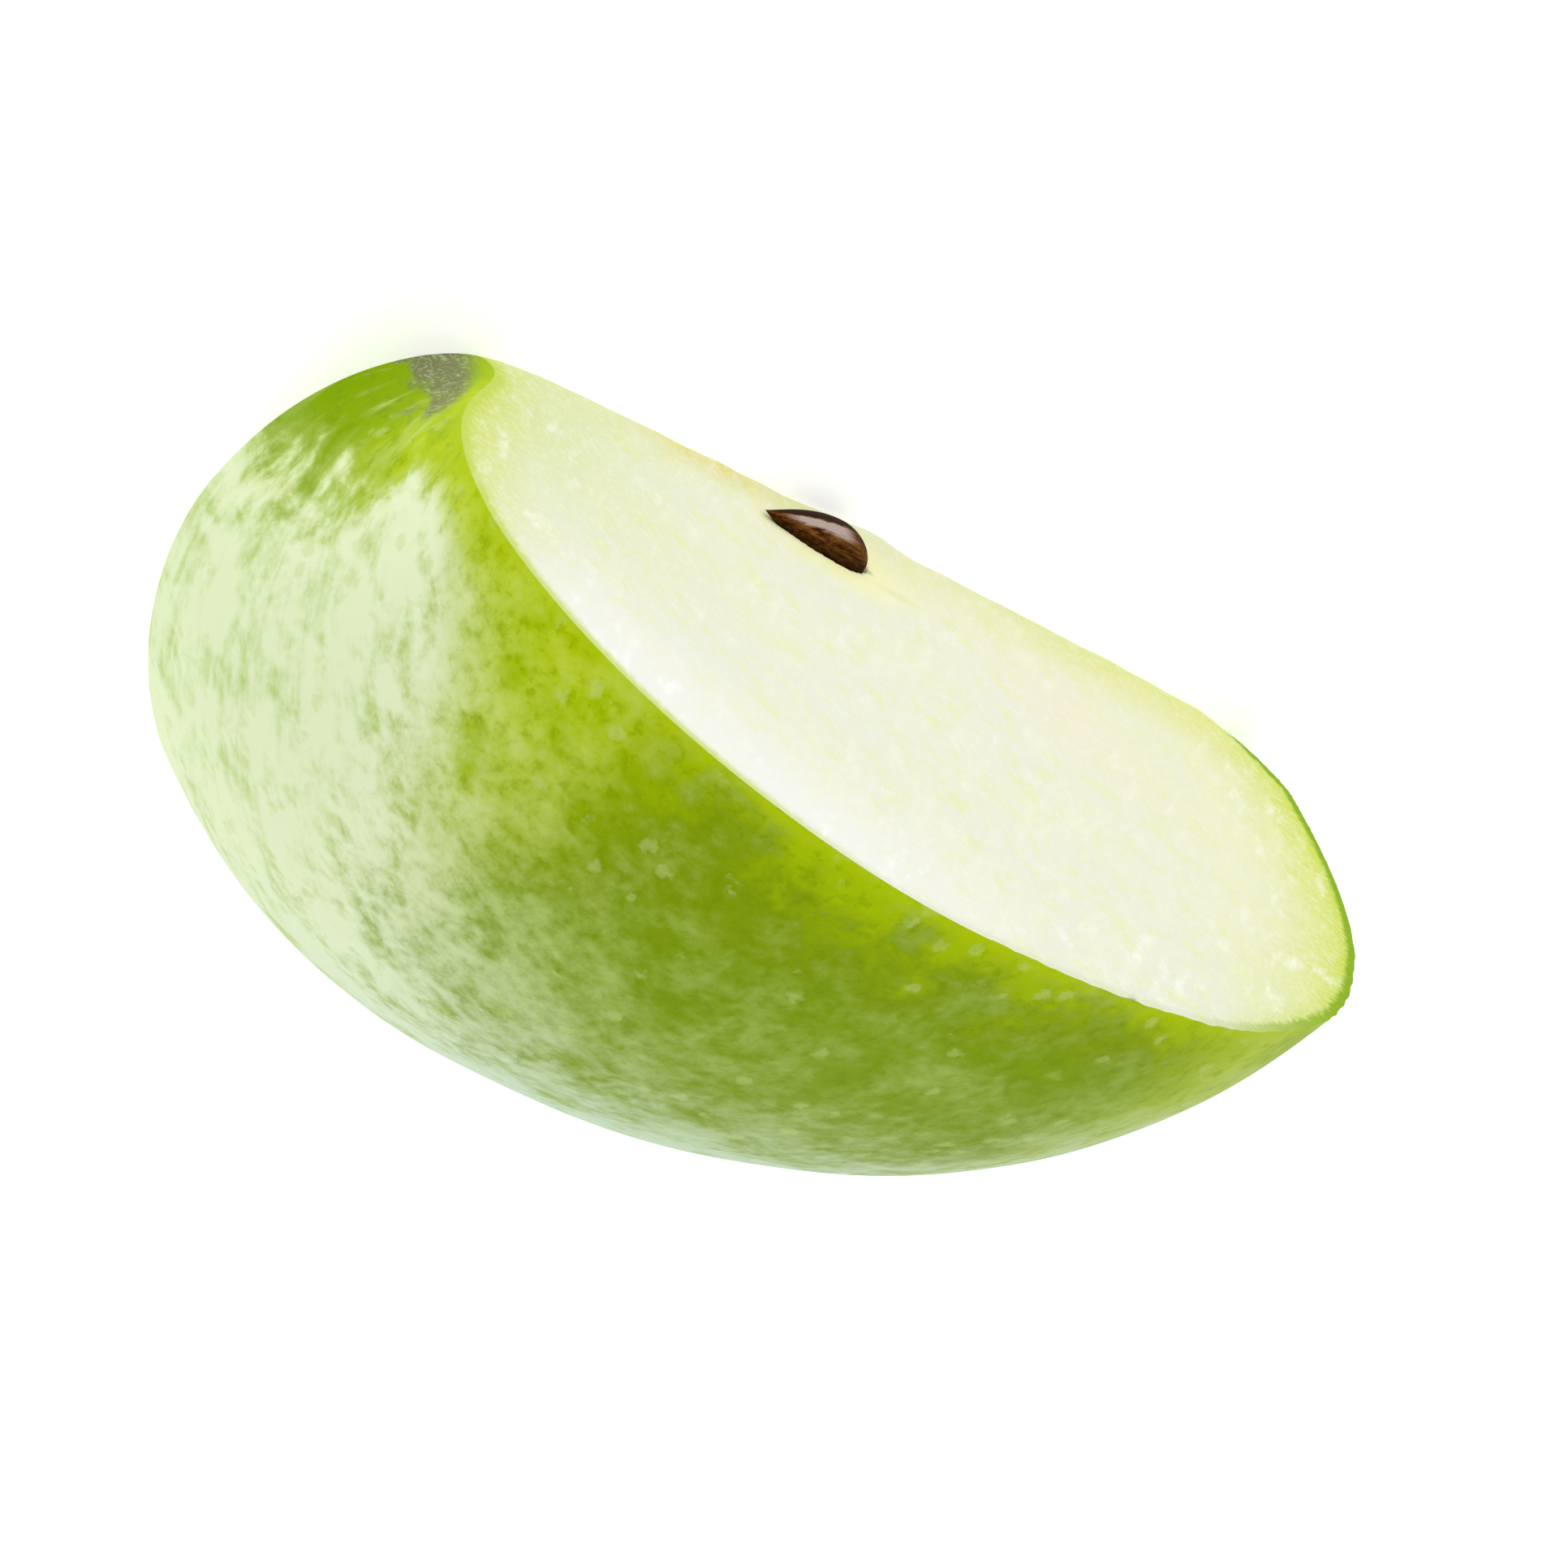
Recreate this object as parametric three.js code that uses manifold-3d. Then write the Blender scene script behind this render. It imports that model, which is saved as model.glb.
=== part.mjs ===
// Quarter slice of a green apple with one seed beside its core edge.
// Millimetres, +Z up. The slice lies on one of its two cut faces, its under face, at Z = 0.
// +X runs along the core edge towards the apple's stem end, and the upright cut face looks along -Y.
import * as THREE from "three";
import { mergeVertices } from "three/addons/utils/BufferGeometryUtils.js";
import Module from "manifold-3d";

const wasm = await Module();
wasm.setup();

// The whole apple, as a turned outline. Heights are measured from its widest ring.
const APPLE_RADIUS = 38; // at the widest ring
const SHOULDER_HEIGHT = 26.8; // crest of the shoulder, towards the stem
const SHOULDER_RADIUS = 17.6;
const CAVITY_DEPTH = 13.8; // stem cavity, below the shoulder's crest
const RIM_DEPTH = 40.6; // lowest ring, round the calyx
const RIM_RADIUS = 6.2;
const BASIN_DEPTH = 5.2; // calyx basin, above the lowest ring

// How far each bend of the outline carries on straight before it turns
const CAVITY_FLOOR_REACH = 4.2;
const SHOULDER_INNER_REACH = 13.7;
const SHOULDER_OUTER_REACH = 7.2;
const CHEEK_UPPER_REACH = 18.9;
const CHEEK_LOWER_REACH = 30.7;
const RIM_OUTER_REACH = 14.2;
const RIM_INNER_REACH = 1.5;
const BASIN_FLOOR_REACH = 3.9;

// The two cuts, which meet along the core edge
const WEDGE_ANGLE = THREE.MathUtils.degToRad(90);
const UPRIGHT_CUT_OFFSET = 4.5; // the apple's axis lies this far outside the upright face
const UNDER_CUT_OFFSET = 0.7; // and this far above the under face

// The seed, which lies flat and half sunk in a pocket of the upright face
const SEED_TIP_LENGTH = 6.1; // from its widest ring to the pointed tip
const SEED_BLUNT_LENGTH = 2; // from its widest ring to the blunt end
const SEED_WIDTH = 3.7;
const SEED_THICKNESS = 2.6;
const SEED_FULLNESS = 0.35; // share of the tip's length over which it stays wide
const SEED_NECK = 0.77; // share of the tip's length where the taper ends
const SEED_TAPER = 0.28; // share of the half width left there
const SEED_TILT = THREE.MathUtils.degToRad(4); // its core side leans out of the upright face
const SEED_YAW = THREE.MathUtils.degToRad(6); // its tip points a little away from the core edge
const SEED_PITCH = THREE.MathUtils.degToRad(4); // and a little out of the upright face
const SEED_SINK = 0.05; // depth of its widest ring's centre below the upright face
const SEED_FLOOR_GAP = 0.6; // clear height of its lowest point above the under face
const SEED_STATION = -6.2; // its widest ring along the apple's axis, from the apple's widest ring
const POCKET_CLEARANCE = 0.3; // round the seed's sides and its blunt end
const POCKET_TIP_CLEARANCE = 0.8; // ahead of its tip, where the slanting walls close in

// Facets
const OUTLINE_STEPS = 14; // for each bend of the apple's outline
const APPLE_SIDES = 120;
const SEED_STEPS = 12;
const SEED_SIDES = 24;

// A solid from a closed geometry, for cutting.
function solidFrom(geometry) {
  const bare = geometry.clone();
  bare.deleteAttribute("normal");
  bare.deleteAttribute("uv");
  const merged = mergeVertices(bare, 1e-4);
  return new wasm.Manifold(
    new wasm.Mesh({
      numProp: 3,
      vertProperties: new Float32Array(merged.attributes.position.array),
      triVerts: new Uint32Array(merged.index.array),
    }),
  );
}

// A geometry from a solid.
function geometryFrom(solid) {
  const cut = solid.getMesh();
  const geometry = new THREE.BufferGeometry();
  geometry.setAttribute("position", new THREE.BufferAttribute(cut.vertProperties, 3));
  geometry.setIndex(new THREE.BufferAttribute(cut.triVerts, 1));
  geometry.computeVertexNormals();
  return geometry;
}

// One bend of a turned outline, from one point to the next with its two control points.
function bend(from, leave, arrive, to) {
  const points = [from, leave, arrive, to].map(([radius, height]) => new THREE.Vector2(radius, height));
  return new THREE.CubicBezierCurve(...points);
}

// Where the apple's axis stands over the under face and beside the upright face.
function appleAxis() {
  const y = (UNDER_CUT_OFFSET * Math.cos(WEDGE_ANGLE) - UPRIGHT_CUT_OFFSET) / Math.sin(WEDGE_ANGLE);
  return { y, z: UNDER_CUT_OFFSET };
}

// The whole apple, turned round its axis with the stem end towards +X.
function wholeApple() {
  const cavityFloor = SHOULDER_HEIGHT - CAVITY_DEPTH;
  const basinFloor = BASIN_DEPTH - RIM_DEPTH;
  const outline = new THREE.CurvePath();
  outline.add(
    bend(
      [0, basinFloor],
      [BASIN_FLOOR_REACH, basinFloor],
      [RIM_RADIUS - RIM_INNER_REACH, -RIM_DEPTH],
      [RIM_RADIUS, -RIM_DEPTH],
    ),
  );
  outline.add(
    bend(
      [RIM_RADIUS, -RIM_DEPTH],
      [RIM_RADIUS + RIM_OUTER_REACH, -RIM_DEPTH],
      [APPLE_RADIUS, -CHEEK_LOWER_REACH],
      [APPLE_RADIUS, 0],
    ),
  );
  outline.add(
    bend(
      [APPLE_RADIUS, 0],
      [APPLE_RADIUS, CHEEK_UPPER_REACH],
      [SHOULDER_RADIUS + SHOULDER_OUTER_REACH, SHOULDER_HEIGHT],
      [SHOULDER_RADIUS, SHOULDER_HEIGHT],
    ),
  );
  outline.add(
    bend(
      [SHOULDER_RADIUS, SHOULDER_HEIGHT],
      [SHOULDER_RADIUS - SHOULDER_INNER_REACH, SHOULDER_HEIGHT],
      [CAVITY_FLOOR_REACH, cavityFloor],
      [0, cavityFloor],
    ),
  );
  const axis = appleAxis();
  return new THREE.LatheGeometry(outline.getPoints(OUTLINE_STEPS), APPLE_SIDES)
    .rotateZ(-Math.PI / 2)
    .translate(0, axis.y, axis.z);
}

// The space between the two cuts, longer and deeper than the apple.
function wedgeSpace() {
  const reach = 3 * APPLE_RADIUS;
  const length = 4 * (SHOULDER_HEIGHT + RIM_DEPTH);
  const middle = Math.SQRT2 * reach;
  const section = new THREE.Shape();
  section.moveTo(0, 0);
  section.lineTo(reach, 0);
  section.lineTo(middle * Math.cos(WEDGE_ANGLE / 2), middle * Math.sin(WEDGE_ANGLE / 2));
  section.lineTo(reach * Math.cos(WEDGE_ANGLE), reach * Math.sin(WEDGE_ANGLE));
  section.closePath();
  // The section's x and y become Y and Z, and its depth runs along X.
  return new THREE.ExtrudeGeometry(section, { depth: length, bevelEnabled: false })
    .translate(0, 0, -length / 2)
    .rotateX(Math.PI / 2)
    .rotateZ(Math.PI / 2);
}

// The seed's form about the centre of its widest ring, as it lies, grown by one margin on its sides
// and blunt end and by another ahead of its tip. It is a drop with a pointed tip towards the stem
// end, flattened across the upright face.
function seedForm(margin = 0, tipMargin = 0) {
  const tipLength = SEED_TIP_LENGTH + tipMargin;
  const blunt = new THREE.EllipseCurve(0, 0, 1, SEED_BLUNT_LENGTH + margin, -Math.PI / 2, 0);
  const tip = new THREE.CubicBezierCurve(
    new THREE.Vector2(1, 0),
    new THREE.Vector2(1, tipLength * SEED_FULLNESS),
    new THREE.Vector2(SEED_TAPER, tipLength * SEED_NECK),
    new THREE.Vector2(0, tipLength),
  );
  const outline = [...blunt.getPoints(SEED_STEPS), ...tip.getPoints(SEED_STEPS).slice(1)];
  return new THREE.LatheGeometry(outline, SEED_SIDES)
    .rotateZ(-Math.PI / 2)
    .scale(1, SEED_THICKNESS / 2 + margin, SEED_WIDTH / 2 + margin)
    .rotateZ(-SEED_PITCH)
    .rotateY(-SEED_YAW)
    .rotateX(WEDGE_ANGLE - Math.PI / 2 - SEED_TILT);
}

// The seed's place: sunk behind the upright face, with its lowest point just over the under face.
function seedPlace() {
  const form = seedForm();
  form.computeBoundingBox();
  const z = SEED_FLOOR_GAP - form.boundingBox.min.z;
  const y = (SEED_SINK + z * Math.cos(WEDGE_ANGLE)) / Math.sin(WEDGE_ANGLE);
  return new THREE.Vector3(SEED_STATION, y, z);
}

// Flesh and skin in one piece, with the seed's pocket.
function appleSlice() {
  const place = seedPlace();
  const pocket = seedForm(POCKET_CLEARANCE, POCKET_TIP_CLEARANCE);
  pocket.translate(place.x, place.y, place.z);
  const solid = solidFrom(wholeApple())
    .intersect(solidFrom(wedgeSpace()))
    .subtract(solidFrom(pocket));
  const skinGreen = new THREE.MeshStandardMaterial({ color: 0x9cbf1e, roughness: 0.42, metalness: 0 });
  const mesh = new THREE.Mesh(geometryFrom(solid), skinGreen);
  mesh.name = "apple_slice";
  return mesh;
}

function seed() {
  const seedBrown = new THREE.MeshStandardMaterial({ color: 0x3a1c0c, roughness: 0.35, metalness: 0 });
  const mesh = new THREE.Mesh(seedForm(), seedBrown);
  mesh.name = "seed";
  mesh.position.copy(seedPlace());
  return mesh;
}

// The origin is the middle of the slice's footprint box, on the surface it lies on.
const slice = new THREE.Group();
slice.add(appleSlice(), seed());
const box = new THREE.Box3().setFromObject(slice);
const middle = box.getCenter(new THREE.Vector3());
slice.position.set(-middle.x, -middle.y, -box.min.z);

export default slice;
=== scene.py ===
import math

import bmesh
import bpy
from mathutils import Matrix, Vector, kdtree, noise
from mathutils.bvhtree import BVHTree
from mathutils.geometry import interpolate_bezier


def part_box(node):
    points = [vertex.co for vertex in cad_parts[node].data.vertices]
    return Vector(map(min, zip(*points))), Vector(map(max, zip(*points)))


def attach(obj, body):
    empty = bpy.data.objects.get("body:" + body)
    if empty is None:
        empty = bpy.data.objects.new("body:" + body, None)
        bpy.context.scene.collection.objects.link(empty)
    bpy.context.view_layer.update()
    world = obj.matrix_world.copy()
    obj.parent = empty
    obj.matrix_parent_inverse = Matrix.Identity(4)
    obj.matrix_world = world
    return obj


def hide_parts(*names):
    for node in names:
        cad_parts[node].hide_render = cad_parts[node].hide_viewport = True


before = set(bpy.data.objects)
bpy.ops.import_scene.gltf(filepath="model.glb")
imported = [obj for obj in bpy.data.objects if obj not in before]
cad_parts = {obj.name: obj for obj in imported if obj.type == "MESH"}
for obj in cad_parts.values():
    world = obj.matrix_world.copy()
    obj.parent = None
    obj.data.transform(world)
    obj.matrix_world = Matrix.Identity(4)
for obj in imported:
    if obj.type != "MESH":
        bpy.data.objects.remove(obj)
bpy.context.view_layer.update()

# ---------------------------------------------------------------- Camera
# A long portrait lens looks down on the slice from its stem end. The camera is turned nearly
# upside down, so that the core edge runs along the top of its view.
mm = 0.001
aim = Vector((1.05, -6.91, 12.26)) * mm
distance = 700 * mm
heading = math.radians(-26.86)
height_angle = math.radians(44.63)
roll = math.radians(151.69)

camera_data = bpy.data.cameras.new("camera")
camera_data.sensor_width = 36
camera_data.lens = 306.87
camera_data.clip_start = 0.01
camera = bpy.data.objects.new("camera", camera_data)
bpy.context.collection.objects.link(camera)
level = math.cos(height_angle)
back = Vector((level * math.cos(heading), level * math.sin(heading), math.sin(height_angle)))
upright = back.to_track_quat("Z", "Y").to_matrix().to_4x4()
camera.matrix_world = Matrix.Translation(aim + distance * back) @ upright @ Matrix.Rotation(roll, 4, "Z")
bpy.context.scene.camera = camera
bpy.context.scene.view_settings.view_transform = "Standard"

# ---------------------------------------------------------------- Floor and studio light
# A plain white table top that glows a little and a pale surround, with soft boxes before the
# upright face, behind the skin and overhead.
floor_side = 3.0
table_glow = 0.42
surround_strength = 0.46
floor_form = bmesh.new()
bmesh.ops.create_grid(floor_form, x_segments=2, y_segments=2, size=floor_side / 2)
floor_mesh = bpy.data.meshes.new("floor")
floor_form.to_mesh(floor_mesh)
floor_form.free()
floor = bpy.data.objects.new("floor", floor_mesh)
bpy.context.collection.objects.link(floor)


def socket(sockets, name):
    """The socket in use that has this name, or the one at this number."""
    if isinstance(name, int):
        return sockets[name]
    return next(one for one in sockets if one.enabled and one.name == name)


def add(tree, kind, inputs=None, **settings):
    """A new node with its settings. Each input takes a value, a node or another node's output."""
    made = tree.nodes.new(kind)
    for name, value in settings.items():
        setattr(made, name, value)
    for name, value in (inputs or {}).items():
        if isinstance(value, bpy.types.Node):
            value = next(one for one in value.outputs if one.enabled)
        if isinstance(value, bpy.types.NodeSocket):
            tree.links.new(value, socket(made.inputs, name))
        else:
            socket(made.inputs, name).default_value = value
    return made


def new_material(name):
    """A material that holds only its output node."""
    made = bpy.data.materials.new(name)
    made.use_nodes = True
    made.node_tree.nodes.clear()
    add(made.node_tree, "ShaderNodeOutputMaterial")
    return made


def finish_with(tree, surface):
    """Joins the surface to the material's output."""
    tree.links.new(surface.outputs[0], tree.nodes["Material Output"].inputs["Surface"])


table_white = new_material("table_white")
tree = table_white.node_tree
mottle = add(tree, "ShaderNodeTexNoise", {"Scale": 3.0})
whites = {"Factor": mottle, "A": (0.92, 0.92, 0.92, 1), "B": (0.95, 0.95, 0.95, 1)}
paint = add(tree, "ShaderNodeMix", whites, data_type="RGBA")
glow = {"Emission Color": (1.0, 1.0, 1.0, 1), "Emission Strength": table_glow}
finish_with(tree, add(tree, "ShaderNodeBsdfPrincipled", {"Base Color": paint, "Roughness": 0.6, **glow}))
floor_mesh.materials.append(table_white)

world = bpy.data.worlds.new("studio")
world.use_nodes = True
world.node_tree.nodes["Background"].inputs["Color"].default_value = (1.0, 1.0, 1.0, 1)
world.node_tree.nodes["Background"].inputs["Strength"].default_value = surround_strength
bpy.context.scene.world = world


def soft_box(name, place, width, tall, watts):
    """A rectangular soft box that faces the slice."""
    data = bpy.data.lights.new(name, "AREA")
    data.shape = "RECTANGLE"
    data.size = width
    data.size_y = tall
    data.energy = watts
    box = bpy.data.objects.new(name, data)
    bpy.context.collection.objects.link(box)
    turned = (Vector(place) - aim).to_track_quat("Z", "Y").to_matrix().to_4x4()
    box.matrix_world = Matrix.Translation(place) @ turned


soft_box("front_box", (0.15, -0.75, 0.45), 0.7, 0.5, 2.45)
soft_box("skin_box", (-0.25, 0.8, 0.35), 0.9, 0.5, 1.7)
soft_box("top_box", (0.1, 0.1, 1.0), 0.6, 0.6, 2.2)

# ---------------------------------------------------------------- Seed
# One brown seed, a flattened drop with a pointed tip and a leathery shell of fine fibres. It grew
# in the apple's core and lies loose in its cell at the core edge.
seed_low, seed_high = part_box("seed")
slice_low, slice_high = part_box("apple_slice")
tip_length = 6.1 * mm
blunt_length = 2.0 * mm
seed_width = 3.7 * mm
seed_thickness = 2.6 * mm
fullness = 0.35
neck = 0.77
taper = 0.28
seed_tilt = math.radians(4)
seed_yaw = math.radians(6)
seed_pitch = math.radians(4)
seed_sink = 0.05 * mm
seed_floor_gap = 0.6 * mm
seed_steps = 28
seed_sides = 72
weld = 1e-7
seed_turn = (
    Matrix.Rotation(-seed_tilt, 3, "X")
    @ Matrix.Rotation(-seed_yaw, 3, "Y")
    @ Matrix.Rotation(-seed_pitch, 3, "Z")
)


def seed_form(margin=0.0):
    """The seed turned as it lies, about the centre of its widest ring, and grown by a margin."""
    tip = tip_length + margin
    blunt = blunt_length + margin
    quarter = [math.pi / 2 * step / seed_steps for step in range(seed_steps)]
    outline = [Vector((-blunt * math.cos(turn), 0, math.sin(turn))) for turn in quarter]
    pulls = ((0, 1), (tip * fullness, 1), (tip * neck, taper), (tip, 0))
    outline += interpolate_bezier(*(Vector((along, 0, out)) for along, out in pulls), seed_steps + 1)
    form = bmesh.new()
    corners = [form.verts.new(point) for point in outline]
    edges = [form.edges.new(pair) for pair in zip(corners, corners[1:])]
    whole_turn = {"angle": 2 * math.pi, "steps": seed_sides, "use_merge": True}
    bmesh.ops.spin(form, geom=corners + edges, cent=(0, 0, 0), axis=(1, 0, 0), **whole_turn)
    section = Vector((1, seed_thickness / 2 + margin, seed_width / 2 + margin))
    bmesh.ops.scale(form, vec=section, verts=form.verts)
    bmesh.ops.remove_doubles(form, verts=form.verts, dist=weld)
    bmesh.ops.rotate(form, cent=(0, 0, 0), matrix=seed_turn, verts=form.verts)
    bmesh.ops.recalc_face_normals(form, faces=form.faces)
    return form


def place_piece(name, form):
    """The piece's object, made from its finished form."""
    mesh = bpy.data.meshes.new(name)
    form.to_mesh(mesh)
    form.free()
    piece = bpy.data.objects.new(name, mesh)
    bpy.context.collection.objects.link(piece)
    return piece


form = seed_form()
seed_centre = Vector(
    (
        seed_high.x - max(vert.co.x for vert in form.verts),
        slice_low.y + seed_sink,
        slice_low.z + seed_floor_gap - min(vert.co.z for vert in form.verts),
    )
)
bmesh.ops.translate(form, vec=seed_centre, verts=form.verts)
for face in form.faces:
    face.smooth = True
seed = place_piece("apple_seed", form)


def tint(red, green, blue):
    """A colour given in the everyday 0 to 255 steps, as light values."""
    steps = [level / 255 for level in (red, green, blue)]
    light = [step / 12.92 if step < 0.04045 else ((step + 0.055) / 1.055) ** 2.4 for step in steps]
    return (*light, 1)


def calc(tree, operation, *values):
    """A sum on one value, or on two and then on each further value in turn."""
    result = add(tree, "ShaderNodeMath", dict(enumerate(values[:2])), operation=operation)
    for value in values[2:]:
        result = add(tree, "ShaderNodeMath", {0: result, 1: value}, operation=operation)
    return result


def times(tree, *values):
    """Several values or masks multiplied."""
    return calc(tree, "MULTIPLY", *values)


def stirred(tree, value, *patterns):
    """A value moved up and down by random patterns, each with its own strength."""
    swings = [times(tree, calc(tree, "SUBTRACT", pattern, 0.5), strength) for pattern, strength in patterns]
    return calc(tree, "ADD", value, *swings)


def fade(tree, value, low, high, start=0.0, end=1.0):
    """A soft step from start to end as the value passes from low to high."""
    span = {"Value": value, "From Min": low, "From Max": high, "To Min": start, "To Max": end}
    return add(tree, "ShaderNodeMapRange", span, interpolation_type="SMOOTHSTEP")


def blend(tree, amount, under, over):
    """The second colour laid over the first by an amount."""
    return add(tree, "ShaderNodeMix", {"Factor": amount, "A": under, "B": over}, data_type="RGBA")


def lay(tree, under, over, most, *masks):
    """A colour laid over another where every mask lets it show, and at most by this amount."""
    return blend(tree, times(tree, *masks, most), under, over)


def placed(tree, place, move=(0, 0, 0), turn=(0, 0, 0), stretch=(1, 1, 1)):
    """The place stretched, turned and then moved, to centre or turn a pattern."""
    change = {"Location": move, "Rotation": turn, "Scale": stretch}
    return add(tree, "ShaderNodeMapping", {"Vector": place, **change})


def axes(tree, place):
    """The three numbers of a place."""
    split = add(tree, "ShaderNodeSeparateXYZ", {0: place})
    return [split.outputs[name] for name in "XYZ"]


def clouds(tree, place, size, detail=3.0, rough=0.55, warp=0.0):
    """Soft random clouds about one size across."""
    sizes = {"Vector": place, "Scale": 1 / size, "Detail": detail, "Roughness": rough, "Distortion": warp}
    return add(tree, "ShaderNodeTexNoise", sizes)


def coat(tree, colour, rough, shine, pattern, relief_strength, relief_height, more=()):
    """The finished surface: its colour, its faint shine and a fine relief taken from a pattern."""
    bump = {"Height": pattern, "Strength": relief_strength, "Distance": relief_height}
    relief = add(tree, "ShaderNodeBump", bump)
    inputs = {"Base Color": colour, "Roughness": rough, "Specular IOR Level": shine, "Normal": relief}
    finish_with(tree, add(tree, "ShaderNodeBsdfPrincipled", {**inputs, **dict(more)}))


seed_coat = new_material("seed_coat")
tree = seed_coat.node_tree
dark_brown = tint(52, 20, 2)
fibre_brown = tint(132, 86, 32)
shaded_brown = tint(30, 10, 2)
painted_highlight = tint(186, 168, 158)
rim_shade_brown = tint(46, 22, 4)
fibre_width = 0.22
fibre_stretch = 0.14
seed_relief = 0.05 * mm

# in mm along the seed's own axes, from the centre of its widest ring, with x towards the tip
here = add(tree, "ShaderNodeTexCoord").outputs["Object"]
unturn = seed_turn.transposed()
to_seed = {"move": -(unturn @ seed_centre) / mm, "turn": unturn.to_euler(), "stretch": (1 / mm,) * 3}
place = placed(tree, here, **to_seed)
x, y, z = axes(tree, place)
fibres = clouds(tree, placed(tree, place, stretch=(fibre_stretch, 1, 1)), fibre_width, 4.0, 0.65)
colour = blend(tree, fade(tree, fibres, 0.35, 0.7), dark_brown, fibre_brown)

# the bearing round the seed in degrees: 0 is straight up and 90 is straight out of the flesh
degrees = 180 / math.pi
outward = calc(tree, "DIVIDE", y, -seed_thickness / 2 / mm)
upward = calc(tree, "DIVIDE", z, seed_width / 2 / mm)
bearing = times(tree, calc(tree, "ARCTAN2", outward, upward), degrees)
bearing = stirred(tree, bearing, (fibres, 30.0))
# painted shade: darker brown towards the top of the seed, where it goes into its cell under the flesh
colour = lay(tree, colour, shaded_brown, 0.75, fade(tree, bearing, 55.0, 15.0))
# a painted highlight: a pale band along the outer side of the seed, short of both its ends
highlight_sides = times(tree, fade(tree, bearing, 58.0, 70.0), fade(tree, bearing, 94.0, 88.0))
highlight_ends = times(tree, fade(tree, x, -0.2, 1.0), fade(tree, x, 5.0, 3.6))
colour = lay(tree, colour, painted_highlight, 0.9, highlight_sides, highlight_ends)
# painted shade: the rim that turns down and away from the light is darker brown
colour = blend(tree, fade(tree, bearing, 90.0, 97.0), colour, rim_shade_brown)
coat(tree, colour, 0.6, 0.02, fibres, 0.5, seed_relief)
seed.data.materials.append(seed_coat)
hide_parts("seed")
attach(seed, "root")

# ---------------------------------------------------------------- Apple slice
# A quarter cut from a whole apple, flesh and thin skin grown as one. The skin follows the turned
# outline of the apple, and two straight knife cuts meet at the core edge beside the seed.
upright_cut_offset = 4.5 * mm
under_cut_offset = 0.7 * mm
shoulder_height = 26.8 * mm
shoulder_radius = 17.6 * mm
rim_radius = 6.2 * mm
cavity_floor_height = 13.0 * mm
ring_x = slice_high.x - shoulder_height
rim_height = slice_low.x - ring_x
basin_floor_height = rim_height + 5.2 * mm
axis_y = slice_low.y - upright_cut_offset
axis_z = slice_low.z + under_cut_offset
apple_radius = math.hypot(slice_high.z - axis_z, upright_cut_offset)
basin_floor_reach = 3.9 * mm
rim_inner_reach = 1.5 * mm
rim_outer_reach = 14.2 * mm
cheek_lower_reach = 30.7 * mm
cheek_upper_reach = 18.9 * mm
shoulder_outer_reach = 7.2 * mm
shoulder_inner_reach = 13.7 * mm
cavity_floor_reach = 4.2 * mm
bends = (
    (
        (0, basin_floor_height),
        (basin_floor_reach, basin_floor_height),
        (rim_radius - rim_inner_reach, rim_height),
        (rim_radius, rim_height),
    ),
    (
        (rim_radius, rim_height),
        (rim_radius + rim_outer_reach, rim_height),
        (apple_radius, -cheek_lower_reach),
        (apple_radius, 0),
    ),
    (
        (apple_radius, 0),
        (apple_radius, cheek_upper_reach),
        (shoulder_radius + shoulder_outer_reach, shoulder_height),
        (shoulder_radius, shoulder_height),
    ),
    (
        (shoulder_radius, shoulder_height),
        (shoulder_radius - shoulder_inner_reach, shoulder_height),
        (cavity_floor_reach, cavity_floor_height),
        (0, cavity_floor_height),
    ),
)
skin_cell = 0.5 * mm
bend_slack = 0.9
fewest_bend_steps = 6
skin_turn = math.radians(100)
skin_steps = 133
cut_cells = {"upright": 0.45 * mm, "under": 1.5 * mm}
seed_cell = 0.12 * mm
seed_room = Vector((1, 0, 1)) * mm
seed_surround = (seed_low - seed_room, seed_high + seed_room)
core_reach = 3.0 * mm
core_bow = 0.25 * mm
core_end_drop = 0.5 * mm
core_end_sharpness = 12
core_end_fade = 3
seed_bulge = 0.35 * mm
seed_bulge_reach = 2.6 * mm
seed_bulge_x = seed_low.x - 0.8 * mm
core_ripple = 0.1 * mm
core_ripple_size = 2.5 * mm
cell_gap = 0.08 * mm
skin_swell = 0.16 * mm
skin_swell_size = 9.0 * mm
peel_nick = 0.18 * mm
peel_nick_size = 1.0 * mm
grain_height = 0.03 * mm
grain_size = 1.1 * mm
touching = 1e-6

outline = []
for bend in bends:
    knots = [Vector((ring_x + height, axis_y, axis_z + radius)) for radius, height in bend]
    span = sum((second - first).length for first, second in zip(knots, knots[1:]))
    steps = max(fewest_bend_steps, round(span * bend_slack / skin_cell))
    outline += interpolate_bezier(*knots, steps)[:-1]
outline.append(knots[3])
form = bmesh.new()
corners = [form.verts.new(point) for point in outline]
edges = [form.edges.new(pair) for pair in zip(corners, corners[1:])]
apple_axis = {"cent": (ring_x, axis_y, axis_z), "axis": (-1, 0, 0)}
bmesh.ops.spin(form, geom=corners + edges, angle=skin_turn, steps=skin_steps, **apple_axis)
bmesh.ops.remove_doubles(form, verts=form.verts, dist=weld)


def saw(form, faces, axis, level, clear=False):
    """Cuts the faces along a plane across one axis, and clears what lies below it if asked."""
    across = Vector((0, 0, 0))
    across[axis] = -1
    geom = list({part for face in faces for part in (*face.verts, *face.edges, face)})
    cut = {"dist": weld, "plane_co": -level * across, "plane_no": across, "clear_outer": clear}
    made = bmesh.ops.bisect_plane(form, geom=geom, **cut)["geom"]
    return [part for part in made if isinstance(part, bmesh.types.BMFace)]


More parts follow.
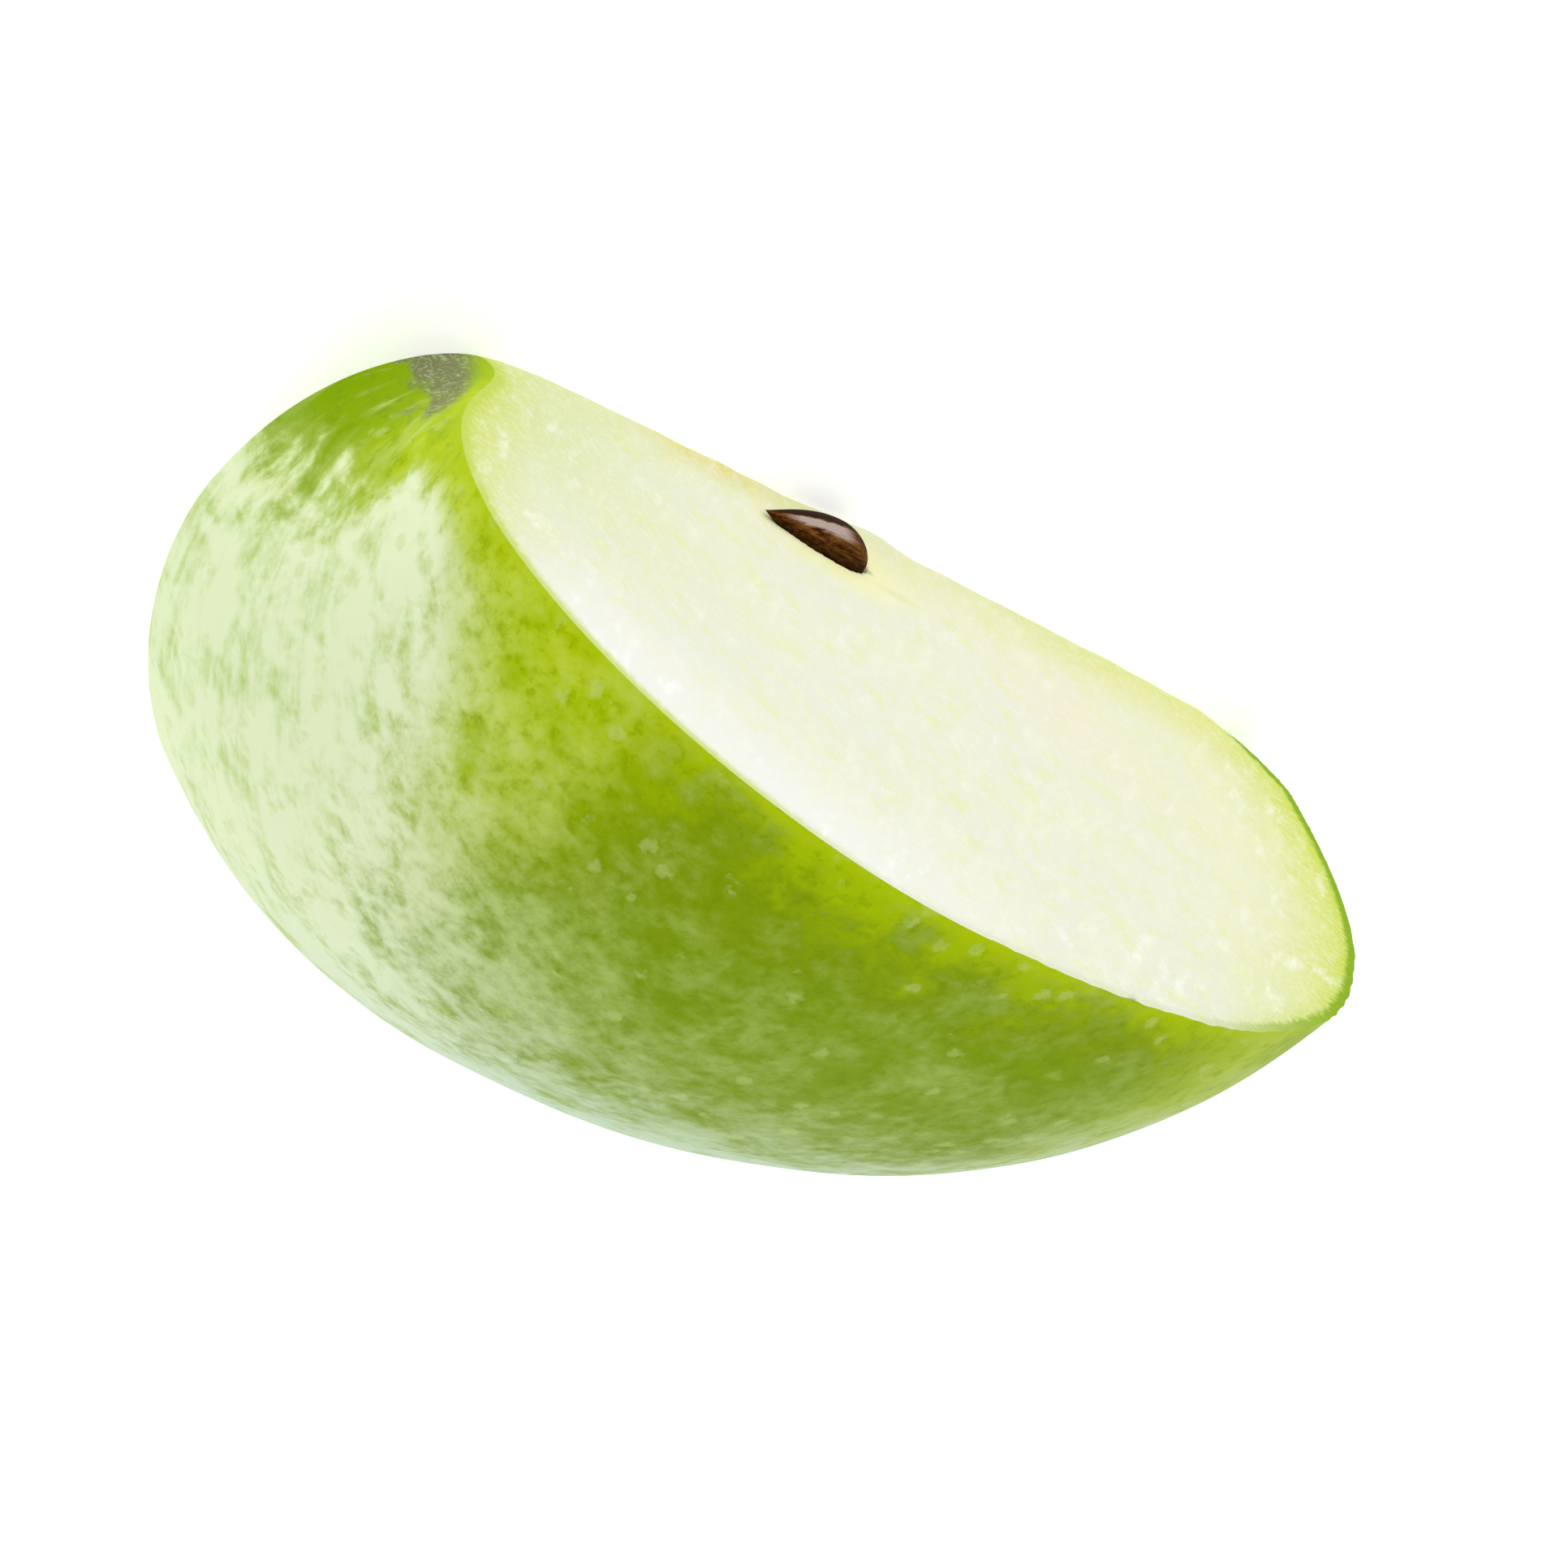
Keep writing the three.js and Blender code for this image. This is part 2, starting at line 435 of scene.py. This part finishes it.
def slice_up(form, faces, axis, levels):
    """Cuts the faces at each level in turn, starting from the middle one."""
    if not levels or not faces:
        return faces
    middle = len(levels) // 2
    faces = saw(form, faces, axis, levels[middle])
    above = [face for face in faces if face.calc_center_median()[axis] > levels[middle]]
    below = list(set(faces) - set(above))
    return slice_up(form, below, axis, levels[:middle]) + slice_up(form, above, axis, levels[middle + 1 :])


def levels_between(low, high, step):
    """Levels about a step apart, strictly inside a span."""
    count = math.ceil((high - low) / step)
    return [low + (high - low) * number / count for number in range(1, count)]


def on_level(vert, axis, level):
    """True where the corner lies on the plane."""
    return abs(vert.co[axis] - level) < touching


cuts = {"upright": (1, slice_low.y), "under": (2, slice_low.z)}
for axis, level in cuts.values():
    saw(form, form.faces, axis, level, clear=True)
rim = [edge for edge in form.edges if edge.is_boundary]
ends = [vert for vert in form.verts if all(on_level(vert, *cut) for cut in cuts.values())]
core_edge = form.edges.new(ends)
caps = {}
for name, cut in cuts.items():
    loop = [edge for edge in rim if all(on_level(vert, *cut) for vert in edge.verts)]
    caps[name] = bmesh.ops.contextual_create(form, geom=loop + [core_edge])["faces"]
    for face in caps[name]:
        face.material_index = 1
bmesh.ops.recalc_face_normals(form, faces=form.faces)
for name, (axis, level) in cuts.items():
    for side in (0, 3 - axis):
        levels = levels_between(slice_low[side], slice_high[side], cut_cells[name])
        caps[name] = slice_up(form, caps[name], side, levels)
near_seed = [
    face
    for face in caps["upright"]
    if all(seed_surround[0][way] < face.calc_center_median()[way] < seed_surround[1][way] for way in (0, 2))
]
for side in (0, 2):
    levels = levels_between(seed_surround[0][side], seed_surround[1][side], seed_cell)
    near_seed = slice_up(form, near_seed, side, levels)
for edge in form.edges:
    edge.smooth = len({face.material_index for face in edge.link_faces}) == 1
for face in form.faces:
    face.smooth = True
for edge in form.edges:
    if all(on_level(vert, *cut) for vert in edge.verts for cut in cuts.values()):
        edge.smooth = False
core_middle = (ends[0].co.x + ends[1].co.x) / 2
core_half = abs(ends[0].co.x - ends[1].co.x) / 2

# the skin swells a little and its rim is nicked, and the upright face has a fine grain
swollen = {}
for vert in form.verts:
    on_cuts = [axis for axis, level in cuts.values() if on_level(vert, axis, level)]
    on_skin = any(not face.material_index for face in vert.link_faces)
    if on_skin:
        away = Vector((0, vert.co.y - axis_y, vert.co.z - axis_z))
        move = away.normalized() * skin_swell * noise.noise(vert.co / skin_swell_size)
        if on_cuts == [1] and vert.co.x < ring_x:
            move += away.normalized() * peel_nick * noise.noise(vert.co / peel_nick_size)
        for axis in on_cuts:
            move[axis] = 0
        swollen[vert] = move
    elif on_cuts == [1]:
        swollen[vert] = Vector((0, grain_height * noise.noise(vert.co / grain_size), 0))
for vert, move in swollen.items():
    vert.co += move

# each point inside the cut faces keeps its depth below the skin, which the flesh is coloured by
rim_points = [vert for vert in form.verts if len({face.material_index for face in vert.link_faces}) == 2]
rim_tree = kdtree.KDTree(len(rim_points))
for number, vert in enumerate(rim_points):
    rim_tree.insert(vert.co, number)
rim_tree.balance()
skin_depth = form.verts.layers.float.new("skin_depth")
for vert in form.verts:
    if all(face.material_index for face in vert.link_faces):
        vert[skin_depth] = rim_tree.find(vert.co)[2] / mm

# the upright face bows out along the core edge and beside the seed, and the seed has its own cell
seed_cell_form = seed_form(cell_gap)
bmesh.ops.translate(seed_cell_form, vec=seed_centre, verts=seed_cell_form.verts)
seed_cell_shape = BVHTree.FromBMesh(seed_cell_form)
seed_cell_form.free()
for vert in form.verts:
    from_face = max(0.0, (vert.co.y - slice_low.y) / core_reach)
    near_core = max(0.0, 1 - (vert.co.z - slice_low.z) / core_reach) ** 2 * max(0.0, 1 - from_face)
    along = min(1.0, abs(vert.co.x - core_middle) / core_half)
    beside_seed = (vert.co.x - seed_bulge_x) / seed_bulge_reach
    bow = core_bow * (1 - along**2) + seed_bulge * math.exp(-(beside_seed**2))
    bow -= core_end_drop * along**core_end_sharpness * math.exp(-core_end_fade * from_face)
    bow += core_ripple * noise.noise(Vector((vert.co.x, 0, 0)) / core_ripple_size)
    vert.co.y -= near_core * bow
    if abs(vert.co.y - slice_low.y) > 2 * core_bow + seed_bulge or vert.co.z < touching:
        continue
    hit = seed_cell_shape.ray_cast(Vector((vert.co.x, slice_high.y, vert.co.z)), Vector((0, -1, 0)))[0]
    if hit and hit.y > vert.co.y:
        vert.co.y = hit.y
wedge = place_piece("apple_wedge", form)

# flesh: places are in mm, x towards the stem end, y inwards from the upright face, z up from the
# under face, and depth is the distance from the skin across a cut face
flesh = new_material("apple_flesh")
tree = flesh.node_tree
cream = tint(231, 232, 207)
pale_cream = tint(229, 231, 213)
straw = tint(228, 232, 176)
frost = tint(240, 240, 236)
calyx_cream = tint(231, 232, 176)
calyx_yellow = tint(209, 220, 84)
core_cream = tint(226, 229, 165)
core_yellow = tint(220, 225, 128)
stem_cream = tint(211, 221, 158)
stem_yellow = tint(208, 219, 90)
warm_cream = tint(236, 229, 204)
tan = tint(224, 216, 132)
lemon = tint(247, 245, 176)
line_green = tint(190, 210, 120)
crease_shade_tan = tint(218, 218, 146)
fleck_green = tint(150, 188, 100)
grain_white = tint(241, 242, 228)
juice_glint_white = tint(252, 252, 250)
under_peel_green = tint(190, 212, 48)
border_green = tint(196, 214, 70)
peel_green = tint(134, 172, 0)
stroke_slant = math.radians(-40)
stroke_width = 0.95
stroke_stretch = 0.32
flesh_relief = 0.1 * mm
juice_reach = 1.5 * mm

here = add(tree, "ShaderNodeTexCoord").outputs["Object"]
place = placed(tree, here, move=(0, -slice_low.y / mm, 0), stretch=(1 / mm,) * 3)
x, y, z = axes(tree, place)
depth = add(tree, "ShaderNodeAttribute", attribute_name="skin_depth").outputs["Fac"]
core_depth = calc(tree, "MAXIMUM", y, z)
wide_clouds = clouds(tree, place, 8.0, 2.0)
mid_clouds = clouds(tree, place, 2.0, 5.0, 0.6)
fine_grain = clouds(tree, place, 0.45, 4.0, 0.65)

# the cream body, with clouds of straw, and whiter near the skin away from the core
near_skin = fade(tree, depth, 13.0, 0.5)
stem_half = fade(tree, x, -4.0, 18.0)
far_from_core = fade(tree, core_depth, 14.0, 26.0)
colour = blend(tree, fade(tree, wide_clouds, 0.38, 0.62), cream, pale_cream)
colour = lay(tree, colour, straw, 0.75, fade(tree, mid_clouds, 0.48, 0.66))
colour = lay(tree, colour, frost, 0.8, near_skin, stem_half, far_from_core)

# yellower towards the calyx end, the core edge and the stem end
calyx_side = fade(tree, x, -8.0, -30.0)
ragged_depth = stirred(tree, depth, (mid_clouds, 7.0))
near_core = fade(tree, core_depth, 6.0, 0.0)
stem_end = fade(tree, x, 8.0, 27.0)
stem_skin = times(tree, fade(tree, x, 17.0, 30.0), fade(tree, depth, 6.0, 0.0))
colour = lay(tree, colour, calyx_cream, 0.4, calyx_side)
colour = lay(tree, colour, calyx_yellow, 0.95, calyx_side, fade(tree, ragged_depth, 8.5, -0.5))
colour = lay(tree, colour, core_cream, 0.5, near_core)
colour = lay(tree, colour, core_yellow, 0.6, near_core, fade(tree, x, -6.0, -22.0))
colour = lay(tree, colour, stem_cream, 0.85, stem_end, fade(tree, core_depth, 24.0, 1.0))
colour = lay(tree, colour, stem_yellow, 0.75, stem_skin, fade(tree, core_depth, 26.0, 10.0))


def patch(tree, place, middle, size):
    """One soft round patch, full in its middle and gone at its edge."""
    move = [-at / wide for at, wide in zip(middle, size)]
    scaled = placed(tree, place, move, stretch=[1 / wide for wide in size])
    from_middle = add(tree, "ShaderNodeVectorMath", {0: scaled}, operation="LENGTH")
    return fade(tree, from_middle.outputs["Value"], 1.0, 0.0)


# a warm patch towards the calyx end and a tan one on the core edge, then what lies round the seed:
# a lemon glow, a green line, painted shade along the crease at its blunt end and a green fleck
tan_clouds = fade(tree, mid_clouds, 0.2, 0.55)
seed_marks = (
    (lemon, 0.95, (1.4, 0, 3.6), (8, 8, 4.6)),
    (line_green, 0.5, (0.6, 0, 4.1), (1.6, 3, 0.45)),
    (crease_shade_tan, 0.45, (-2.8, 0, 4.7), (2.3, 3, 0.7)),
    (fleck_green, 0.8, (-1.1, 0, 3.6), (0.6, 3, 0.45)),
)
colour = lay(tree, colour, warm_cream, 0.55, patch(tree, place, (-14, 0, 9), (9, 12, 8)))
colour = lay(tree, colour, tan, 0.95, patch(tree, place, (9.5, 0, 0), (9, 8, 2.6)), tan_clouds)
for mark, most, middle, size in seed_marks:
    colour = lay(tree, colour, mark, most, patch(tree, place, middle, size))

# white grain, and painted highlights of juice: short slanting white strokes that gather near the skin and
# in drifts
stroke_turn = placed(tree, place, turn=(0, stroke_slant, 0))
strokes = clouds(tree, placed(tree, stroke_turn, stretch=(1, 1, stroke_stretch)), stroke_width, 4.0, 0.6)
stroke_drifts = fade(tree, clouds(tree, place, 5.0, 2.0), 0.4, 0.62)
glint_spread = times(tree, calc(tree, "MAXIMUM", near_skin, 0.35), calc(tree, "MAXIMUM", stroke_drifts, 0.2))
colour = lay(tree, colour, grain_white, 0.35, fade(tree, fine_grain, 0.45, 0.7))
colour = lay(tree, colour, juice_glint_white, 0.7, fade(tree, strokes, 0.46, 0.72), glint_spread)

# green under the peel, and the dark line of the peel itself, both strongest at the calyx end
peel_depth = stirred(tree, depth, (fine_grain, 0.9))
calyx_peel = calc(tree, "MAXIMUM", fade(tree, x, -4.0, -28.0), 0.1)
stem_peel = fade(tree, x, 12.0, 26.0)
colour = lay(tree, colour, under_peel_green, 0.72, fade(tree, peel_depth, 1.9, 0.0), calyx_peel)
colour = lay(tree, colour, border_green, 0.7, fade(tree, peel_depth, 1.3, 0.2), stem_peel)
colour = lay(tree, colour, peel_green, 1.0, fade(tree, peel_depth, 0.8, 0.35), calyx_peel)
juice = {
    "Subsurface Weight": fade(tree, depth, 0.8, 3.0, 0.0, 0.2),
    "Subsurface Scale": juice_reach,
    "Subsurface Radius": (1.0, 0.9, 0.5),
}
coat(tree, colour, 0.45, 0.02, clouds(tree, place, 0.5), 0.25, flesh_relief, juice)

# skin: turn is the bearing round the apple's axis from straight up, fall the angle down from the
# stem, both in degrees, and margin the distance behind the upright face in mm
skin = new_material("apple_skin")
tree = skin.node_tree
leaf_green = tint(170, 198, 0)
bright_green = tint(192, 214, 0)
band_green = tint(126, 156, 2)
cavity_green = tint(132, 169, 0)
speck_green = tint(112, 146, 0)
bloom_reflection_white = tint(241, 253, 212)
bloom_reflection_grey = tint(208, 231, 202)
stem_pale_green = tint(206, 226, 116)
cheek_pale_green = tint(180, 204, 108)
crest_green = tint(200, 218, 124)
shade_green = tint(186, 216, 104)
calyx_green = tint(140, 176, 0)
dot_green = tint(206, 222, 134)
edge_green = tint(188, 212, 0)
cork_brown = tint(128, 126, 90)
cork_green = tint(168, 184, 140)
streak_stretch = 0.004
splash_stretch = 0.02
dot_spacing = 2.0
dot_scatter = 1.5
skin_relief = 0.15 * mm

here = add(tree, "ShaderNodeTexCoord").outputs["Object"]
to_middle = [-at / mm for at in (ring_x, axis_y, axis_z)]
place = placed(tree, here, move=to_middle, stretch=(1 / mm,) * 3)
along, y, z = axes(tree, place)
across = calc(tree, "SQRT", calc(tree, "ADD", times(tree, y, y), times(tree, z, z)))
turn = times(tree, calc(tree, "ARCTAN2", y, z), degrees)
fall = times(tree, calc(tree, "ARCTAN2", across, along), degrees)
margin = calc(tree, "SUBTRACT", y, upright_cut_offset / mm)
side = {0: calc(tree, "DIVIDE", y, across), 1: calc(tree, "DIVIDE", z, across)}
streak_place = add(tree, "ShaderNodeCombineXYZ", {**side, 2: times(tree, fall, streak_stretch)})
splash_place = add(tree, "ShaderNodeCombineXYZ", {**side, 2: times(tree, fall, splash_stretch)})
blotches = clouds(tree, place, 3.2, 6.0, 0.58, 0.3)
drifts = clouds(tree, place, 9.0, 3.0, 0.5, 0.5)
mottle = clouds(tree, place, 0.8, 5.0, 0.65)
streaks = clouds(tree, streak_place, 0.05, 5.0, 0.6, 0.3)
splashes = clouds(tree, splash_place, 0.12, 5.0, 0.62, 0.5)

# the green skin, with a darker band beside the cut, the full green of the cavity and dark specks
ragged_turn = stirred(tree, turn, (blotches, 30.0))
ragged_fall = stirred(tree, fall, (splashes, 12.0), (blotches, 18.0))
ragged_fall = calc(tree, "SUBTRACT", ragged_fall, fade(tree, turn, 60.0, 85.0, 0.0, 2.0))
band_length = times(tree, fade(tree, fall, 50.0, 66.0), fade(tree, fall, 128.0, 112.0))
in_cavity = times(tree, fade(tree, ragged_fall, 30.0, 26.0), fade(tree, turn, 40.0, 75.0))
colour = blend(tree, fade(tree, blotches, 0.35, 0.65), leaf_green, bright_green)
colour = lay(tree, colour, band_green, 0.9, fade(tree, ragged_turn, 4.0, 15.0), band_length)
colour = lay(tree, colour, cavity_green, 0.9, in_cavity)
colour = lay(tree, colour, speck_green, 0.3, fade(tree, mottle, 0.48, 0.36))

# the pale bloom over the cheek, partly the skin's own waxy bloom and partly painted reflection, which
# starts furthest from the cut near the widest ring
from_ring = times(tree, calc(tree, "SUBTRACT", fall, 80.0), 0.083)
bloom_reflection_start = calc(tree, "SUBTRACT", 22.0, calc(tree, "POWER", from_ring, 2.0))
bloom_reflection_span = fade(tree, fall, 38.0, 70.0, 26.0, 50.0)
bloom_and_reflection = calc(tree, "DIVIDE", calc(tree, "SUBTRACT", turn, bloom_reflection_start), bloom_reflection_span)
bloom_and_reflection = times(tree, bloom_and_reflection, fade(tree, margin, 0.0, 4.0))
patchy_bloom_and_reflection = stirred(tree, bloom_and_reflection, (blotches, 1.5), (mottle, 1.0), (streaks, 0.35), (drifts, 0.75))
pale = fade(tree, patchy_bloom_and_reflection, -0.2, 1.0, 0.0, 0.96)

# inside the shoulder's crest the bloom breaks up into splashes, more of them towards the cut
crest = fade(tree, ragged_fall, 21.5, 32.5)
in_crest = calc(tree, "SUBTRACT", 1.0, crest)
towards_cut = times(tree, calc(tree, "SUBTRACT", 55.0, turn), 0.013)
splashed = stirred(tree, calc(tree, "MAXIMUM", towards_cut, -0.12), (splashes, 4.0))
inner = times(tree, fade(tree, splashed, 0.0, 0.8), fade(tree, margin, 0.3, 2.0), 0.6)
veil = calc(tree, "MAXIMUM", times(tree, pale, crest), times(tree, inner, in_crest))

# the veil's own colour: white to grey-green down the cheek, greener where it is thin or shaded; the white
# is partly a painted reflection on the shoulder and the grey-green partly a painted grazing reflection
# towards the limb
thin = blend(tree, fade(tree, fall, 45.0, 80.0), stem_pale_green, cheek_pale_green)
thick = blend(tree, fade(tree, fall, 60.0, 95.0), bloom_reflection_white, bloom_reflection_grey)
veil_colour = blend(tree, fade(tree, bloom_and_reflection, 0.1, 0.8), thin, thick)
veil_colour = blend(tree, fade(tree, crest, 0.95, 0.3), veil_colour, crest_green)
shade = stirred(tree, 0.0, (streaks, 1.0), (blotches, 1.6), (mottle, 0.6))
veil_colour = blend(tree, fade(tree, shade, 0.12, -0.6, 0.0, 0.9), veil_colour, shade_green)
colour = blend(tree, veil, colour, veil_colour)

# full green again beside the cut at the calyx end, pale dots, and the bright edge of the cut
calyx_end = times(tree, fade(tree, fall, 126.0, 140.0), fade(tree, margin, 7.0, 2.5))
scatter = placed(tree, mottle.outputs["Color"], stretch=(dot_scatter,) * 3)
dot_place = add(tree, "ShaderNodeVectorMath", {0: place, 1: scatter}, operation="ADD")
cells = add(tree, "ShaderNodeTexVoronoi", {"Vector": dot_place, "Scale": 1 / dot_spacing})
draw = add(tree, "ShaderNodeSeparateColor", {0: cells.outputs["Color"]}).outputs["Red"]
dots = times(tree, fade(tree, cells.outputs["Distance"], 0.3, 0.16), fade(tree, draw, 0.4, 0.6))
colour = lay(tree, colour, calyx_green, 0.9, calyx_end)
colour = lay(tree, colour, dot_green, 0.35, dots)
colour = lay(tree, colour, edge_green, 0.5, fade(tree, margin, 1.2, 0.0))

# corky russet on the floor and near wall of the stem cavity
russet_edge = stirred(tree, across, (blotches, 8.0), (mottle, 4.0))
russet = times(tree, fade(tree, russet_edge, 8.4, 6.6), fade(tree, turn, 38.0, 54.0))
russet = times(tree, russet, fade(tree, turn, 112.0, 100.0))
russet = times(tree, russet, fade(tree, margin, 0.3, 1.1), fade(tree, along, 5.0, 8.0))
threads = clouds(tree, place, 0.5, 4.0, 0.6, 2.0)
cork = blend(tree, fade(tree, threads, 0.48, 0.66), cork_brown, cork_green)
colour = lay(tree, colour, cork, 0.92, russet)
coat(tree, colour, 0.45, 0.03, mottle, 0.2, skin_relief)
wedge.data.materials.append(skin)
wedge.data.materials.append(flesh)
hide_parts("apple_slice")
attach(wedge, "root")
